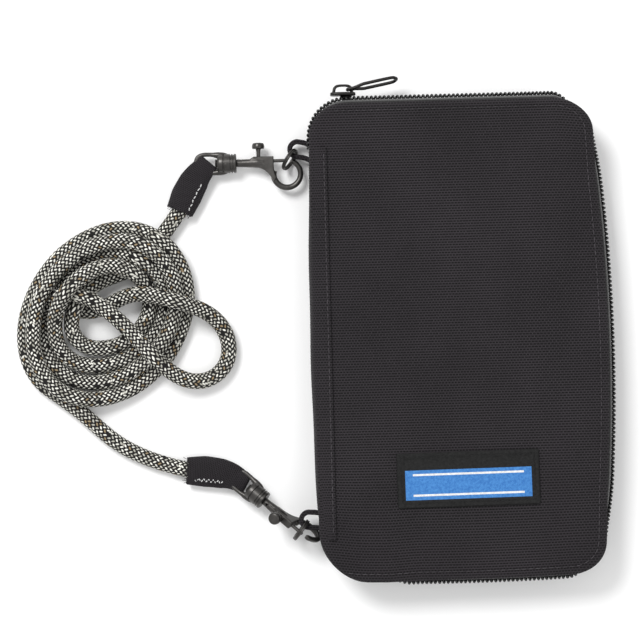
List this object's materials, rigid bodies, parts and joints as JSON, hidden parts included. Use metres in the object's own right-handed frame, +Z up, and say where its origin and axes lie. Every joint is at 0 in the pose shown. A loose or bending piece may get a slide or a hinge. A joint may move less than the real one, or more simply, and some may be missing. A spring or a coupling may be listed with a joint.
{
  "type": "neck pouch wallet",
  "caption": "Zip-round canvas travel wallet lying closed on its back, with a braided neck cord clipped to rings on its spine by swivel bolt snaps.",
  "frame": {"origin": "on the floor under the middle of the wallet's back panel", "axes": "+Y along the wallet's length towards the zip's start, +Z up through the front cover, -X towards the spine and the cord"},
  "size_m": [0.2322, 0.1986, 0.0232],
  "materials": {
    "canvas": "matte ribbed cotton canvas",
    "lining": "smooth woven nylon",
    "zip_tape": "woven polyester tape",
    "zip_teeth": "satin nylon coil",
    "label": "woven badge with thread lines",
    "gunmetal": "satin gunmetal plating",
    "black_metal": "satin black enamel",
    "braid": "round herringbone braid in black, cream and tan"
  },
  "bodies": {
    "back_half": {"back_panel": "canvas", "back_lining": "lining", "card_slot_1": "lining", "card_slot_2": "lining", "card_slot_3": "lining", "back_zip_tape": "zip_tape", "back_zip_teeth": "zip_teeth", "spine": "canvas", "upper_ring_loop": "canvas", "lower_ring_loop": "canvas", "upper_swivel_eye": "gunmetal", "lower_swivel_eye": "gunmetal", "upper_cord_tab": "canvas", "lower_cord_tab": "canvas", "cord_heap": "braid", "cord_upper_lead": "braid", "cord_bight": "braid", "cord_lower_lead": "braid"},
    "front_cover": {"front_panel": "canvas", "front_lining": "lining", "front_pocket": "lining", "front_zip_tape": "zip_tape", "front_zip_teeth": "zip_teeth", "label_patch": "label"},
    "zip_slider": {"zip_slider": "black_metal", "slider_bail": "black_metal"},
    "zip_pull": {"zip_pull": "black_metal"},
    "upper_ring": {"upper_ring": "gunmetal"},
    "lower_ring": {"lower_ring": "gunmetal"},
    "upper_snap": {"upper_snap_hook": "gunmetal", "upper_bolt_spring": "gunmetal"},
    "lower_snap": {"lower_snap_hook": "gunmetal", "lower_bolt_spring": "gunmetal"},
    "upper_bolt": {"upper_thumb_bolt": "gunmetal"},
    "lower_bolt": {"lower_thumb_bolt": "gunmetal"}
  },
  "joints": [
    {"name": "cover_open", "type": "hinge", "parent": "back_half", "child": "front_cover", "pos_m": [-0.058, 0, 0.0125], "axis": [0, -1, 0], "range_deg": [0, 88]},
    {"name": "zip_travel", "type": "slide", "parent": "back_half", "child": "zip_slider", "axis": [1, 0, 0], "range_m": [0, 0.078]},
    {"name": "pull_swing", "type": "hinge", "parent": "zip_slider", "child": "zip_pull", "pos_m": [-0.0406, 0.0984, 0.011], "axis": [0, 0, 1], "range_deg": [-8, 150]},
    {"name": "upper_ring_swing", "type": "hinge", "parent": "back_half", "child": "upper_ring", "pos_m": [-0.06165, 0.0755, 0.0054], "axis": [0, 0, 1], "range_deg": [-5, 5]},
    {"name": "lower_ring_swing", "type": "hinge", "parent": "back_half", "child": "lower_ring", "pos_m": [-0.0606, -0.0711, 0.0101], "axis": [0, 0, 1], "range_deg": [-5, 5]},
    {"name": "upper_snap_swivel", "type": "hinge", "parent": "back_half", "child": "upper_snap", "pos_m": [-0.0705, 0.0709, 0.005], "axis": [1, 0, 0], "range_deg": [-18, 18]},
    {"name": "lower_snap_swivel", "type": "hinge", "parent": "back_half", "child": "lower_snap", "pos_m": [-0.0668, -0.0724, 0.0105], "axis": [0.7371, -0.643, 0.2079], "range_deg": [-5, 5]},
    {"name": "upper_bolt_slide", "type": "slide", "parent": "upper_snap", "child": "upper_bolt", "axis": [-1, 0, 0], "range_m": [0, 0.0044], "stiffness_N_per_m": 250, "springref_m": -0.002, "deforming": ["upper_bolt_spring"]},
    {"name": "lower_bolt_slide", "type": "slide", "parent": "lower_snap", "child": "lower_bolt", "axis": [-0.7371, 0.643, -0.2079], "range_m": [0, 0.0044], "stiffness_N_per_m": 250, "springref_m": -0.002, "deforming": ["lower_bolt_spring"]}
  ]
}
